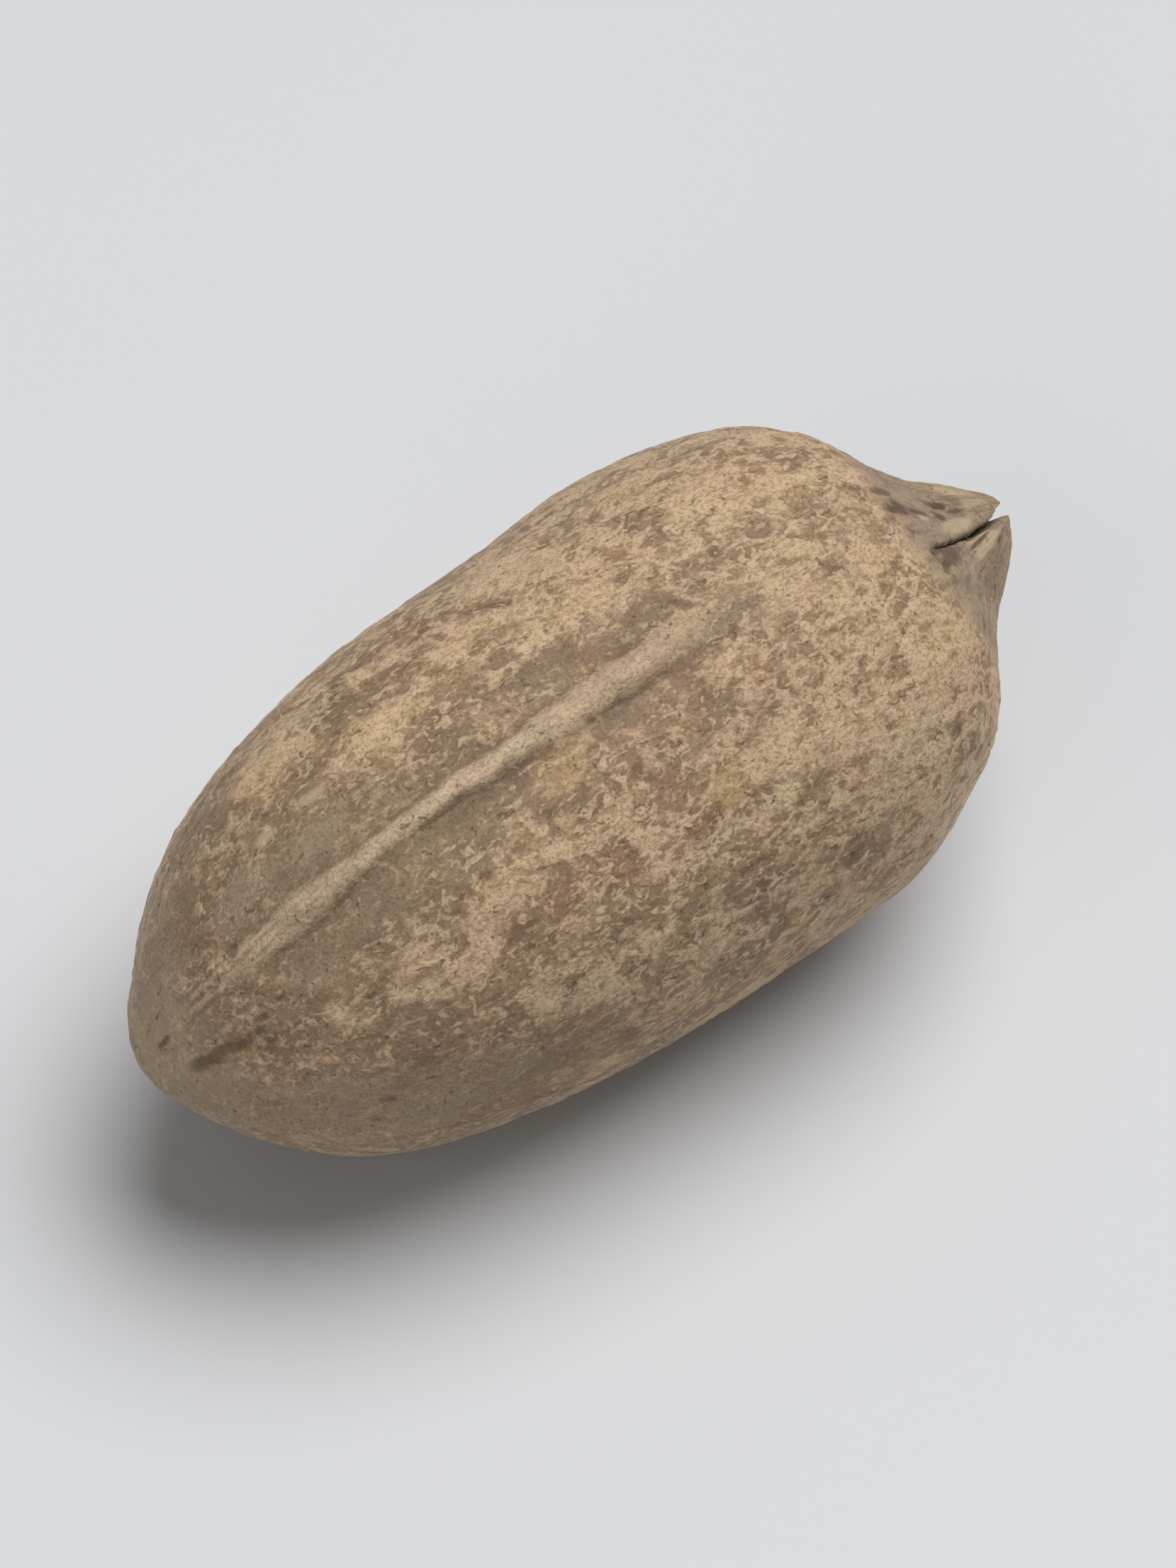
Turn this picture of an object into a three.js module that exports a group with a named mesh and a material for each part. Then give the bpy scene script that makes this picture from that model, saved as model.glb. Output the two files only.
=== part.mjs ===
// A pecan nut in its shell, lying on its side: one closed solid of about 9,700 triangles.
//
// The nut's own frame runs along its axis: x is the distance from the base nub to the beak tip, and an
// angle is measured round the axis from the top, turning towards the -Y side. The outline is a smooth
// curve swung round the axis. Its surface is then raised and lowered along its own normal by the
// sutures, ribs, swells, beak pleats and the split in the beak. Last, the nut is laid down with its
// beak a little up, as its weight settles it, and it stands on a small flat spot.
import * as THREE from "three";

// Driving dimensions, in millimetres and degrees.
const LENGTH = 48.6;
const GREATEST_DIAMETER = 23.2;
const REST_PITCH = 2.6;
const FLAT_DEPTH = 0.22;
const RINGS = 56;
const MERIDIANS = 88;

// The outline from base to beak: share of the length, share of the greatest radius.
const OUTLINE = [
  [0.0, 0.0],
  [0.01, 0.138],
  [0.045, 0.366],
  [0.099, 0.586],
  [0.171, 0.772],
  [0.274, 0.897],
  [0.397, 0.966],
  [0.521, 0.991],
  [0.644, 1.0],
  [0.747, 0.948],
  [0.825, 0.802],
  [0.877, 0.552],
  [0.916, 0.371],
  [0.949, 0.263],
  [0.975, 0.168],
  [0.994, 0.086],
  [1.0, 0.0],
];

// The two sutures, where the halves of the shell met: a crest with a furrow along each side.
const SUTURES = [
  { angle: 13, crest: 0.32, furrow: 0.17, from: 2.5, full: 8, fades: 22, ends: 35 },
  { angle: 193, crest: 0.26, furrow: 0.14, from: 3, full: 10, fades: 24, ends: 38 },
];
const CREST_HALF_WIDTH = 0.62;
const FURROW_HALF_WIDTH = 0.6;
const FURROW_OFFSET = 1.3;

// Faint ribs that run from end to end between the sutures.
const RIBS = [
  { angle: -17, height: 0.1, halfWidth: 1.5 },
  { angle: -58, height: 0.08, halfWidth: 1.7 },
  { angle: 29, height: 0.09, halfWidth: 1.3 },
  { angle: 66, height: 0.1, halfWidth: 1.8 },
  { angle: 118, height: 0.1, halfWidth: 1.6 },
  { angle: 152, height: 0.08, halfWidth: 1.5 },
  { angle: -104, height: 0.11, halfWidth: 1.7 },
  { angle: -142, height: 0.09, halfWidth: 1.6 },
];
const RIBS_FROM = 5;
const RIBS_TO = 41;

// Broad swells and hollows that keep the shell from being evenly round.
const SWELLS = [
  { x: 39.3, angle: -45, alongX: 3.2, alongAngle: 32, height: 0.24 },
  { x: 41.6, angle: 86, alongX: 2.4, alongAngle: 30, height: 0.15 },
  { x: 38.6, angle: 104, alongX: 2.6, alongAngle: 24, height: -0.3 },
  { x: 24.8, angle: -72, alongX: 4.4, alongAngle: 24, height: -0.12 },
  { x: 9.5, angle: -75, alongX: 4.0, alongAngle: 24, height: -0.2 },
  { x: 29.6, angle: 106, alongX: 3.4, alongAngle: 24, height: -0.18 },
  { x: 6.8, angle: 124, alongX: 3.6, alongAngle: 34, height: 0.18 },
  { x: 31.5, angle: -60, alongX: 4.0, alongAngle: 26, height: 0.2 },
  { x: 14.5, angle: -128, alongX: 5.0, alongAngle: 26, height: 0.16 },
  { x: 35.0, angle: -160, alongX: 4.0, alongAngle: 24, height: -0.14 },
  { x: 0.9, angle: -105, alongX: 0.9, alongAngle: 45, height: 0.3 },
  { x: 2.9, angle: 42, alongX: 1.3, alongAngle: 17, height: -0.3 },
  { x: 43.9, angle: 37, alongX: 1.0, alongAngle: 10, height: -0.24 },
];

// The beak: pleats that run down from its tip, and the split that parts it into two prongs.
const PLEATS = { count: 9, depth: 0.15, from: 43.2, full: 44.6, ends: 48 };
const SPLIT = { angle: 27, inner: 0.18, mouth: 0.32, depth: 1.15, from: 40.3, full: 45.5, farSide: -1.1 };

// The beak bends off the nut's axis a little: how far its tip is carried up and aside, and from where.
const BEND = { from: 40, up: 0.6, aside: 0.14 };

// The scar at the base where the nut hung: a low rim round a small hollow.
const SCAR = { radius: 0.95, halfWidth: 0.34, rim: 0.1, hollow: 0.14 };

const RADIUS = GREATEST_DIAMETER / 2;
const radians = THREE.MathUtils.degToRad;
const smoothstep = THREE.MathUtils.smoothstep;
const bell = (offset, halfWidth) => Math.exp(-((offset / halfWidth) ** 2));

// The signed turn from one angle to another, in radians, by the short way round.
function turn(from, to) {
  const difference = to - from;
  return Math.atan2(Math.sin(difference), Math.cos(difference));
}

function sutureRelief(x, angle, radius) {
  let height = 0;
  for (const suture of SUTURES) {
    const offset = turn(radians(suture.angle), angle) * radius;
    const strength = smoothstep(x, suture.from, suture.full) *
      (1 - 0.8 * smoothstep(x, suture.fades, suture.ends));
    const furrows = bell(offset - FURROW_OFFSET, FURROW_HALF_WIDTH) +
      bell(offset + FURROW_OFFSET, FURROW_HALF_WIDTH);
    height += strength * (suture.crest * bell(offset, CREST_HALF_WIDTH) - suture.furrow * furrows);
  }
  return height;
}

function ribRelief(x, angle, radius) {
  const strength = smoothstep(x, RIBS_FROM, RIBS_FROM + 7) * (1 - smoothstep(x, RIBS_TO - 9, RIBS_TO));
  let height = 0;
  for (const rib of RIBS) {
    height += rib.height * bell(turn(radians(rib.angle), angle) * radius, rib.halfWidth);
  }
  return strength * height;
}

function swellRelief(x, angle) {
  let height = 0;
  for (const swell of SWELLS) {
    const around = turn(radians(swell.angle), angle);
    height += swell.height * bell(x - swell.x, swell.alongX) * bell(around, radians(swell.alongAngle));
  }
  return height;
}

function pleatRelief(x, angle) {
  const onBeak = smoothstep(x, PLEATS.from, PLEATS.full) * (1 - smoothstep(x, PLEATS.full, PLEATS.ends));
  const uneven = angle + 0.25 * Math.sin(2 * angle + 0.8);
  return -PLEATS.depth * onBeak * (0.5 - 0.5 * Math.cos(PLEATS.count * uneven));
}

// How far the split in the beak is cut back along the axis.
function splitDepth(x, angle, radius) {
  const round = turn(radians(SPLIT.angle), angle);
  const across = radius * Math.sin(round);
  const outwards = radius * Math.cos(round);
  const halfWidth = SPLIT.inner + (SPLIT.mouth - SPLIT.inner) * smoothstep(x, SPLIT.full, LENGTH);
  return SPLIT.depth * smoothstep(outwards, SPLIT.farSide, 0) * smoothstep(x, SPLIT.from, SPLIT.full) *
    bell(across, halfWidth);
}

// How far the scar stands out from the base along the axis.
function scarHeight(x, radius) {
  const atBase = 1 - smoothstep(x, 0.8, 2);
  return atBase * (SCAR.rim * bell(radius - SCAR.radius, SCAR.halfWidth) -
    SCAR.hollow * bell(radius, SCAR.radius * 0.6));
}

const outline = new THREE.SplineCurve(
  OUTLINE.map(([along, out]) => new THREE.Vector2(along * LENGTH, out * RADIUS)),
);

// A point of the finished surface, before the nut is laid down.
function surfacePoint(share, angle) {
  const { x, y: radius } = outline.getPoint(share);
  const slope = outline.getTangent(share);
  const height = sutureRelief(x, angle, radius) + ribRelief(x, angle, radius) +
    swellRelief(x, angle) + pleatRelief(x, angle);
  const along = x - height * slope.y - splitDepth(x, angle, radius) - scarHeight(x, radius);
  const out = radius + height * slope.x;
  const bend = (Math.max(x - BEND.from, 0) / (LENGTH - BEND.from)) ** 2;
  return new THREE.Vector3(
    along,
    bend * BEND.aside - out * Math.sin(angle),
    bend * BEND.up + out * Math.cos(angle),
  );
}

// The meridians crowd towards the sutures and the split, where the relief is finest.
function meridianAngle(index) {
  const crowding = 0.3;
  const centre = radians((SUTURES[0].angle + SPLIT.angle) / 2);
  const even = (index / MERIDIANS) * 2 * Math.PI;
  return centre + even - crowding * Math.sin(2 * even);
}

function nutGeometry() {
  const points = [surfacePoint(0, 0)];
  for (let ring = 1; ring < RINGS; ring++) {
    for (let index = 0; index < MERIDIANS; index++) {
      points.push(surfacePoint(ring / RINGS, meridianAngle(index)));
    }
  }
  points.push(surfacePoint(1, 0));

  const faces = [];
  const at = (ring, index) => 1 + (ring - 1) * MERIDIANS + (index % MERIDIANS);
  for (let index = 0; index < MERIDIANS; index++) {
    faces.push(0, at(1, index + 1), at(1, index));
    faces.push(points.length - 1, at(RINGS - 1, index), at(RINGS - 1, index + 1));
    for (let ring = 1; ring < RINGS - 1; ring++) {
      faces.push(at(ring, index), at(ring, index + 1), at(ring + 1, index + 1));
      faces.push(at(ring, index), at(ring + 1, index + 1), at(ring + 1, index));
    }
  }
  const geometry = new THREE.BufferGeometry().setFromPoints(points);
  geometry.setIndex(faces);
  return geometry;
}

// Lays the nut down, centres it over the origin and presses the small flat spot into its underside.
function layDown(geometry) {
  geometry.rotateY(-radians(REST_PITCH));
  geometry.computeBoundingBox();
  const centre = geometry.boundingBox.getCenter(new THREE.Vector3());
  geometry.translate(-centre.x, -centre.y, -geometry.boundingBox.min.z - FLAT_DEPTH);
  const positions = geometry.getAttribute("position");
  for (let index = 0; index < positions.count; index++) {
    positions.setZ(index, Math.max(positions.getZ(index), 0));
  }
  geometry.computeVertexNormals();
  return geometry;
}

const shell = new THREE.MeshStandardMaterial({ color: 0x8c7660, roughness: 0.82, metalness: 0 });
const pecan = new THREE.Mesh(layDown(nutGeometry()), shell);
pecan.name = "pecan_shell";

const nut = new THREE.Group();
nut.add(pecan);

export default nut;
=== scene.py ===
"""A pecan nut in its shell: the fine surface and the finish, in the place of the nut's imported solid.

The nut's own frame is the one its solid is drawn in. There x runs along the axis from the base nub to
the beak tip, and an angle is measured round the axis from the top, turning towards the -Y side. Sizes
are in millimetres and degrees in that frame, and the finished meshes are in metres. A pair of values
for a rise or a fade is the x where it begins and the x where it is whole.
"""

import math

import bpy
import numpy as np
from mathutils import Matrix, Vector, noise


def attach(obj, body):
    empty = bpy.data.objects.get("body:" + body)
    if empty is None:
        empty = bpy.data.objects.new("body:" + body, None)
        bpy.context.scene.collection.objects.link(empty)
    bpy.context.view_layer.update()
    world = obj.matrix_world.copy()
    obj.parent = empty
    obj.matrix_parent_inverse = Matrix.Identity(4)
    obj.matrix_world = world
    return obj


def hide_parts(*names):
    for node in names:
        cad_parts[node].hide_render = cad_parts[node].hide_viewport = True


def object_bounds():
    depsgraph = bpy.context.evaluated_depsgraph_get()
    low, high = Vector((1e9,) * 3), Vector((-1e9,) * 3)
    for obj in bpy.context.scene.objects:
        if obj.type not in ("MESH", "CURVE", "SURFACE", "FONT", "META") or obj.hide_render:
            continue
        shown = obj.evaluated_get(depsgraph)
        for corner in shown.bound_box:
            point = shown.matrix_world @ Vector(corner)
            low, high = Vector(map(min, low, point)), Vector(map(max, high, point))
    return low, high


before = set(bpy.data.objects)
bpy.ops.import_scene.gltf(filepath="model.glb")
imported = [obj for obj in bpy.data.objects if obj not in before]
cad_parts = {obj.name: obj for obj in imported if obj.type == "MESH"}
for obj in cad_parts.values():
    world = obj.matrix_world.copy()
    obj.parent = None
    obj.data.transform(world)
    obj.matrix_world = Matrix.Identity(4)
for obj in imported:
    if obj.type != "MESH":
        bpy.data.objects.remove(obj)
CAD_LOW, CAD_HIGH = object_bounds()
NODE = "pecan_shell"

MM = 0.001

# The nut's driving dimensions, as in its solid.
LENGTH = 48.6
GREATEST_RADIUS = 11.6
REST_PITCH = 2.6
FLAT_DEPTH = 0.22

# The fine surface: how many points lie round the nut and from end to end. They crowd a little towards
# the sutures, and more and more towards the beak over a stretch of x.
ROUND = 384
STATIONS = 252
SUTURE_CROWDING = 0.13
BEAK_CROWDING = 1.7
BEAK_CROWDING_RISE = (38, 44)
OUTLINE_STEPS = 4000

# Patterns that run lengthwise lie on a straight tube of this radius instead of on the nut itself.
FLOW_RADIUS = 9.0

# The outline from base to beak: share of the length, share of the greatest radius.
OUTLINE = [
    (0.0, 0.0),
    (0.01, 0.138),
    (0.045, 0.366),
    (0.099, 0.586),
    (0.171, 0.772),
    (0.274, 0.897),
    (0.397, 0.966),
    (0.521, 0.991),
    (0.644, 1.0),
    (0.747, 0.948),
    (0.825, 0.802),
    (0.877, 0.552),
    (0.916, 0.371),
    (0.949, 0.263),
    (0.975, 0.168),
    (0.994, 0.086),
    (1.0, 0.0),
]

# Where the halves of the shell met: a crest with a furrow along each side, lower towards the beak.
SUTURES = [
    {"angle": 13, "crest": 0.32, "furrow": 0.17, "start": 2.5, "full": 8, "fades": 22, "ends": 35},
    {"angle": 193, "crest": 0.26, "furrow": 0.14, "start": 3, "full": 10, "fades": 24, "ends": 38},
]
SUTURE_LOWERED = 0.8
SUTURE_WANDER = 0.16
SUTURE_RAGGEDNESS = 0.17
CREST_HALF_WIDTH = 0.62
FURROW_HALF_WIDTH = 0.6
FURROW_OFFSET = 1.3
VERGE_HALF_WIDTH = 2.5

# Faint ribs from end to end: angle, height, half width.
RIBS = [
    (-17, 0.1, 1.5),
    (-58, 0.08, 1.7),
    (29, 0.09, 1.3),
    (66, 0.1, 1.8),
    (118, 0.1, 1.6),
    (152, 0.08, 1.5),
    (-104, 0.11, 1.7),
    (-142, 0.09, 1.6),
]
RIBS_RISE = (5, 12)
RIBS_FADE = (32, 41)

# Broad swells and hollows: x, angle, half width along x, half width in degrees, height.
SWELLS = [
    (39.3, -45, 3.2, 32, 0.24),
    (41.6, 86, 2.4, 30, 0.15),
    (38.6, 104, 2.6, 24, -0.3),
    (24.8, -72, 4.4, 24, -0.12),
    (9.5, -75, 4.0, 24, -0.2),
    (29.6, 106, 3.4, 24, -0.18),
    (6.8, 124, 3.6, 34, 0.18),
    (31.5, -60, 4.0, 26, 0.2),
    (14.5, -128, 5.0, 26, 0.16),
    (35.0, -160, 4.0, 24, -0.14),
    (0.9, -105, 0.9, 45, 0.3),
    (2.9, 42, 1.3, 17, -0.3),
    (43.9, 37, 1.0, 10, -0.24),
]

# The beak's pleats, and how unevenly they are spaced round it.
PLEATS = {"count": 9, "depth": 0.15, "start": 43.2, "full": 44.6, "ends": 48}
PLEAT_SHIFT = 0.25
PLEAT_PHASE = 0.8

# The split that parts the beak's tip into two prongs. It is narrower and shorter than in the solid,
# because the thin cut below carries it on towards the shoulder.
SPLIT = {
    "angle": 30,
    "inner": 0.14,
    "mouth": 0.24,
    "depth": 1.15,
    "start": 44.0,
    "full": 47.0,
    "far": -1.1,
}
SPLIT_SQUARENESS = 4

# The scar at the base where the nut hung: a low rim round a small hollow.
SCAR = {"radius": 0.95, "half_width": 0.34, "rim": 0.1, "hollow": 0.14, "hollow_radius": 0.57}
SCAR_FADE = (0.8, 2)

# The beak bends off the nut's axis a little: how far its tip is carried up and aside, and from where.
BEND = {"start": 40, "up": 0.6, "aside": 0.14}

# The split seen from its side: a thin dark cut from the shoulder to the tip, by x and angle. It goes
# no deeper than a share of the beak's radius.
CUT = [(41.2, 24.6), (42.6, 25.4), (44.2, 26.3), (45.3, 27.7), (46.3, 29.1), (47.3, 32.7), (48.6, 36.0)]
CUT_RISE = (40.7, 42.3)
CUT_HALF_WIDTH = 0.1
CUT_DEPTH = 0.62
CUT_DEEPEST_SHARE = 0.5
EDGE_WANDER = 0.09

# The fibrous lip that covers the beak: the x where it starts and how much further on it is whole, and
# how far it reaches back over the shoulder round one angle. The half turn of that reach is in radians.
LIP_START = 41.6
LIP_RISE = 2.2
LIP_REACH = 3.0
LIP_REACH_ANGLE = 20
LIP_REACH_HALF_TURN = 0.85

# The dusty ribbon on each crest, by x and half width.
RIBBON = [
    (2.5, 0.3),
    (5, 0.55),
    (7.2, 0.85),
    (9, 0.55),
    (10.5, 0.36),
    (14, 0.45),
    (18, 0.6),
    (21, 0.8),
    (25, 0.85),
    (34, 1.1),
]
RIBBON_HEIGHT = 0.07
RIBBON_SQUARENESS = 6
RIBBON_RAGGEDNESS = 1.5
RIBBON_RISE = (2, 5)
RIBBON_FADE = (21, 35)
RIBBON_BASE_STRENGTH = 0.8
RIBBON_STRENGTHENS = (9, 12)

# Thin grooves just outside the ribbon's edges: side, depth, half width.
CREST_GROOVES = [(1, 0.09, 0.15), (-1, 0.06, 0.13)]
GROOVE_DEEPEST = 0.09
GROOVE_OUT_SHARE = 1.05
GROOVE_OUT = 0.12

# Near the base each crest breaks up into parallel strands, a little to one side of it. They spread
# with x, and the ribbon's first wide stretch covers most of them. Tops and gaps are the heights of the
# wave, from -1 to 1, at which a strand or the gap beside it comes into view.
STRANDS = {
    "gap": 0.44,
    "height": 0.035,
    "rise": (0.8, 2.4),
    "fade": (7, 12),
    "aside": 0.2,
    "half_width": 0.6,
    "spread": 0.03,
    "covered_x": 7,
    "covered_half_length": 1.7,
    "covered_share": 0.75,
    "raggedness": 0.8,
    "wander": 1.5,
    "tops": (0.1, 0.9),
    "gaps": (0.3, 1.0),
}

# A fissure or crease wanders a little, and narrows at its ends to this share of its width.
FISSURE_WANDER = 0.16
FISSURE_END_WIDTH = 0.35

# Short fissures and creases, most of them near the beak: x, angle, length, lean, half width, depth.
FISSURES = [
    (39.4, -118, 5.2, 6, 0.11, 0.3),
    (37.2, -152, 7.0, -4, 0.12, 0.34),
    (40.6, 158, 4.2, 8, 0.1, 0.28),
    (36.0, 128, 5.0, -5, 0.08, 0.22),
    (41.6, -84, 3.2, -10, 0.09, 0.24),
    (9.5, -165, 4.4, 7, 0.08, 0.18),
    (7.8, 138, 3.4, -8, 0.08, 0.16),
]
CREASES = [
    (41.0, 31.5, 1.9, 74, 0.2, 0.12),
    (46.9, 58, 1.6, -8, 0.12, 0.1),
    (43.6, 50, 3.4, 12, 0.14, 0.1),
    (43.2, 66, 3.6, 6, 0.15, 0.1),
    (42.9, -14, 3.0, -8, 0.13, 0.09),
    (43.4, -40, 3.6, -4, 0.14, 0.1),
]

# Patches of one tone, strewn where they show best and then round the far side.
# Each is x, angle, half length along the nut, half width across it, strength.
STRAW_PATCHES = [
    (14.4, -12.7, 2.6, 1.2, 1.0),
    (20.1, -17.7, 2.6, 0.9, 1.0),
    (10.5, -29, 2.4, 1.4, 1.0),
    (24.5, -29, 3.0, 1.5, 1.0),
    (31.3, -30, 2.4, 1.3, 1.0),
    (35.2, -8.7, 2.6, 0.8, 1.0),
    (25.1, -7.3, 2.0, 0.7, 1.0),
    (19.5, 22, 1.6, 1.1, 1.0),
    (26.6, 44.8, 2.2, 1.1, 1.0),
    (14.6, 38.3, 2.0, 1.0, 1.0),
    (37.1, 20.5, 1.2, 0.8, 1.0),
    (37.4, 47, 2.2, 1.1, 1.0),
    (16, 150, 3.0, 1.4, 1.0),
    (28, -150, 2.6, 1.3, 1.0),
    (22, -96, 3.0, 1.5, 1.0),
    (12, -84, 2.4, 1.2, 1.0),
    (30, 170, 3.0, 1.2, 1.0),
    (24, 112, 2.6, 1.3, 1.0),
    (36, -112, 2.2, 1.3, 1.0),
    (19.2, 25.5, 1.2, 0.8, 1.0),
    (14.5, -7, 1.3, 0.5, 1.0),
    (17.5, -31, 2.2, 0.8, 1.0),
    (40.6, 47, 1.3, 0.6, 0.8),
]
GREY_AND_SHADE_PATCHES = [
    (21.9, -0.6, 2.3, 0.8, 1.0),
    (23.3, 19.0, 2.0, 0.6, 1.0),
    (15.3, 17.5, 2.3, 0.6, 1.0),
    (8.2, 0.5, 2.2, 1.1, 1.0),
    (9.8, 25, 2.0, 0.9, 1.0),
    (3.5, -28.7, 2.0, 1.6, 1.0),
    (7.0, 82, 4.0, 2.6, 1.0),
    (14.5, 90, 5.0, 2.2, 1.0),
    (32, 140, 3.0, 1.5, 1.0),
    (12, -160, 3.0, 1.5, 1.0),
    (20, -128, 3.0, 1.5, 1.0),
    (5, 172, 2.5, 2.0, 1.0),
    # This one is painted shade on the lower prong's side of the beak.
    (45.2, 60, 2.2, 0.8, 1.0),
    (26.8, 3.5, 2.6, 0.5, 0.8),
    (7.4, 29, 1.6, 0.7, 0.9),
]
DUSTY_PATCHES = [
    (5.5, 92, 5.0, 3.4, 0.9),
    (10.5, 84, 3.6, 2.0, 0.7),
    (1.4, -20, 1.6, 1.6, 0.8),
    (1.5, 70, 1.6, 1.6, 0.7),
    (3.2, -50, 2.4, 1.8, 0.7),
    (5.8, -5, 1.7, 1.1, 0.8),
    (9.2, 0.5, 1.6, 0.7, 0.75),
    (6.4, 32, 1.5, 0.7, 0.6),
    (4.0, 160, 3.4, 3.0, 0.8),
    (3.0, -130, 2.8, 2.6, 0.8),
]
ROSE_PATCHES = [
    (4.4, 58.5, 1.3, 0.75, 1.0),
    (3.6, -4, 1.2, 0.6, 0.9),
    (5.0, -24, 1.0, 0.5, 0.9),
    (45.2, 44, 1.9, 1.0, 1.0),
    (3.9, -22, 1.4, 0.8, 0.8),
    (6.2, -6, 1.4, 0.5, 0.7),
    (38.5, 62, 2.6, 1.4, 0.8),
    (30.0, 30, 2.4, 0.9, 0.6),
    (33.0, -48, 2.4, 1.2, 0.7),
    (24.5, 16, 1.2, 0.5, 0.7),
    (18, -140, 3.0, 1.4, 0.9),
    (27, 132, 2.8, 1.2, 0.9),
    (9, 165, 2.6, 1.3, 0.8),
]
FLAKED_AND_SHADED_PATCHES = [
    (40.7, 10.4, 0.9, 0.62, 1.0),
    (42.0, 10.6, 0.8, 0.26, 1.0),
    (40.6, 2.4, 0.7, 0.24, 0.75),
    (39.2, 0.5, 0.4, 0.26, 0.5),
    (39.5, 13.0, 0.4, 0.24, 0.5),
    (43.6, 11.0, 0.6, 0.34, 1.0),
    (44.4, 0.0, 0.9, 0.3, 1.0),
    (45.3, 6.5, 0.6, 0.16, 0.8),
    # This one is painted shade in the hollow under the split, over its own brown.
    (42.3, 30.4, 1.6, 0.6, 0.85),
    (41.4, 26.0, 0.9, 0.3, 0.9),
    (45.4, 36.0, 0.9, 0.12, 0.75),
    (46.8, 52.5, 0.35, 0.16, 0.8),
    (40.8, 33.0, 0.34, 0.24, 0.8),
    (28.2, 57.5, 0.5, 0.26, 0.8),
    (37.1, 67.5, 0.5, 0.34, 0.8),
    (17.5, 29.8, 0.4, 0.24, 0.6),
    (32.1, 73, 0.4, 0.26, 0.6),
    (33.3, 29.5, 0.3, 0.18, 0.7),
    (33.8, 38.8, 0.3, 0.18, 0.7),
    # These six are painted shade in the dent near the base, partly the shell's own darker tone there.
    (2.2, 43.6, 0.9, 0.4, 0.8),
    (1.5, 46.0, 0.6, 0.42, 0.8),
    (1.1, 49.0, 0.3, 0.34, 0.6),
    (3.3, 40.4, 0.6, 0.24, 0.65),
    (3.8, 35.6, 0.5, 0.2, 0.5),
    (3.3, 49.0, 0.4, 0.24, 0.35),
    (0.7, 5.5, 0.2, 0.17, 0.75),
    (39.8, -132, 0.9, 0.4, 0.9),
    (38.5, 165, 0.8, 0.4, 0.8),
    (26, -165, 0.5, 0.3, 0.7),
    (14, 128, 0.45, 0.3, 0.7),
    (6, -110, 0.6, 0.35, 0.6),
]
CREAM_PATCHES = [
    (7.9, -12.0, 0.6, 0.3, 0.7),
    (10.4, -9.5, 0.9, 0.32, 0.7),
    (44.5, 18.3, 2.2, 0.4, 1.0),
    (42.1, 12.8, 0.45, 0.28, 1.0),
    (45.9, 31.8, 1.6, 0.14, 1.0),
    (45.8, 43.0, 1.2, 0.36, 0.9),
    (46.6, 5.0, 0.9, 0.4, 0.7),
    (46.4, -22, 1.3, 0.5, 1.0),
    (46.0, -120, 1.4, 0.6, 1.0),
]

# A patch has a torn edge. It reaches a little past its size and fades over a share of it, and a wide
# one is torn more than a narrow one, up to the full tear.
PATCH_REACH = 1.15
PATCH_FADE = 0.6
PATCH_RAGGEDNESS = 0.5
PATCH_TEAR = 0.35
PATCH_TEAR_WITH_WIDTH = 1.3

# Small pits, strewn by chance within these limits.
STREWN_PITS = 70
STREWN_SEED = 7
PIT_X = (3, 43)
PIT_HALF_WIDTH = (0.1, 0.2)
PIT_DEPTH = (0.03, 0.07)
PIT_STRETCH = 1.5

# Chance patterns: the size of their grains, how many times as long they are along the nut, how far
# they wriggle into worms and curls, how many octaves of noise they hold, and a seed of their own.
PATTERNS = {
    "suture_wander": (7.0, 1.0, 0.0, 2, 1),
    "split_edge": (1.3, 1.0, 0.0, 3, 2),
    "fissure_wander": (1.6, 1.0, 0.0, 3, 3),
    "lumps": (3.4, 1.4, 0.0, 2, 4),
    "scurf": (0.8, 1.15, 0.8, 2, 5),
    "lines": (1.3, 7.0, 0.0, 3, 6),
    "crest_scurf": (0.75, 1.5, 1.0, 2, 7),
    "beak_fibres": (0.9, 4.5, 0.0, 4, 8),
    "suture_edges": (0.8, 1.5, 1.0, 3, 9),
    "whole_grooves": (2.6, 1.6, 0.0, 2, 10),
    "cut_edge": (0.9, 1.0, 0.0, 3, 11),
    "patch_edges": (0.8, 1.5, 0.6, 3, 12),
    "thick": (2.6, 1.7, 0.0, 3, 13),
    "yellow": (2.2, 1.8, 0.0, 2, 14),
    "rosy": (4.0, 1.5, 0.0, 2, 15),
    "streaks": (0.8, 8.0, 0.0, 3, 16),
    "crust": (1.3, 1.3, 1.1, 3, 17),
    "whole_strands": (1.1, 2.2, 0.0, 2, 18),
}
SEED_STEP = 17.3
WRIGGLE_SIZE = 0.9

# The seed of the noise that makes them wriggle. Without one it would differ from run to run.
BEND_SEED = 1

# The two levels of a chance pattern between which its mask rises.
PATTERN_LEVELS = {
    "whole_grooves": (-0.5, 0.3),
    "whole_strands": (-0.35, 0.15),
    "thick": (-0.35, 0.45),
    "yellow": (0.0, 0.5),
    "rosy": (-0.1, 0.5),
    "streaks": (0.15, 0.5),
}

# How high each kind of low relief stands, or how deep it goes.
LOW_RELIEF = {
    "lumps": 0.06,
    "scurf": 0.045,
    "lines": -0.025,
    "crest_scurf": 0.1,
    "beak_fibres": 0.09,
    "flaked_and_shaded": -0.07,
    "cream": 0.05,
    "crust": 0.045,
}
LINE_HALF_WIDTH = 0.16
LINES_RISE_WITH_RADIUS = (0.2, 2.5)

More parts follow.
